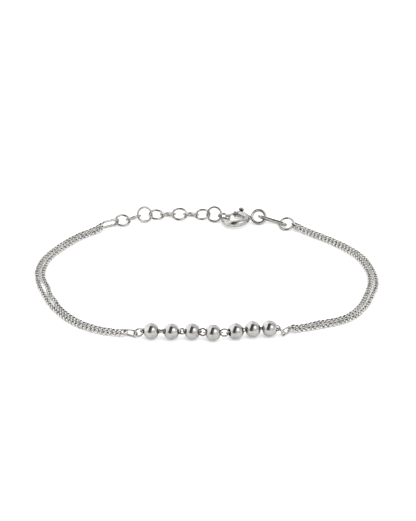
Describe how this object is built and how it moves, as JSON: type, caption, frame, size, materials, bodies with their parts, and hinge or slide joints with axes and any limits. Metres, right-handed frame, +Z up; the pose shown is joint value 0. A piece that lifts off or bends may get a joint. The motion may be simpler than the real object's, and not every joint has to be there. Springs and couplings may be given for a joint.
{
  "type": "ball chain bracelet",
  "caption": "Fine silver bracelet: a row of polished ball beads in front, twin curb chain strands at each side, and a ring extender chain with a spring ring clasp behind.",
  "frame": {"origin": "on the surface that the fastened bracelet lies on, at the bottom centre of its box", "axes": "+Z up from the surface, +X along the bead row to the right as seen from the bead side, -Y towards the bead side and +Y towards the clasp"},
  "size_m": [0.0704, 0.0498, 0.0032],
  "materials": {
    "bead_silver": "polished silver, mirror bright",
    "link_silver": "polished silver wire",
    "curb_chain_silver": "polished silver, fine diamond-cut curb links",
    "clasp_silver": "polished silver with a trace of wear"
  },
  "bodies": {
    "bracelet": {"ball_bead_1": "bead_silver", "ball_bead_2": "bead_silver", "ball_bead_3": "bead_silver", "ball_bead_4": "bead_silver", "ball_bead_5": "bead_silver", "ball_bead_6": "bead_silver", "ball_bead_7": "bead_silver", "bead_core_link_1": "link_silver", "bead_core_link_2": "link_silver", "bead_core_link_3": "link_silver", "bead_core_link_4": "link_silver", "bead_core_link_5": "link_silver", "bead_core_link_6": "link_silver", "bead_core_link_7": "link_silver", "bead_link_1": "link_silver", "bead_link_2": "link_silver", "bead_link_3": "link_silver", "bead_link_4": "link_silver", "bead_link_5": "link_silver", "bead_link_6": "link_silver", "left_end_ring": "link_silver", "left_joining_link": "link_silver", "right_end_ring": "link_silver", "right_joining_link": "link_silver", "left_strand_outer": "curb_chain_silver", "left_strand_inner": "curb_chain_silver", "right_strand_outer": "curb_chain_silver", "right_strand_inner": "curb_chain_silver", "left_back_link": "link_silver", "extender_ring_1": "link_silver", "extender_ring_2": "link_silver", "extender_ring_3": "link_silver", "extender_ring_4": "link_silver", "extender_ring_5": "link_silver", "extender_ring_6": "link_silver", "extender_ring_7": "link_silver", "extender_ring_8": "link_silver", "extender_ring_9": "link_silver", "extender_ring_10": "link_silver", "clasp_body": "clasp_silver", "clasp_link": "link_silver", "right_back_ring": "link_silver"},
    "latch": {"clasp_latch": "clasp_silver"}
  },
  "joints": [
    {"name": "clasp_latch_hinge", "type": "hinge", "parent": "bracelet", "child": "latch", "pos_m": [0.00627, 0.02122, 0.00117], "axis": [-0.0581, 0.0649, 0.9962], "range_deg": [-35, 0], "stiffness_Nm_per_rad": 0.001, "springref_deg": 5.16}
  ]
}
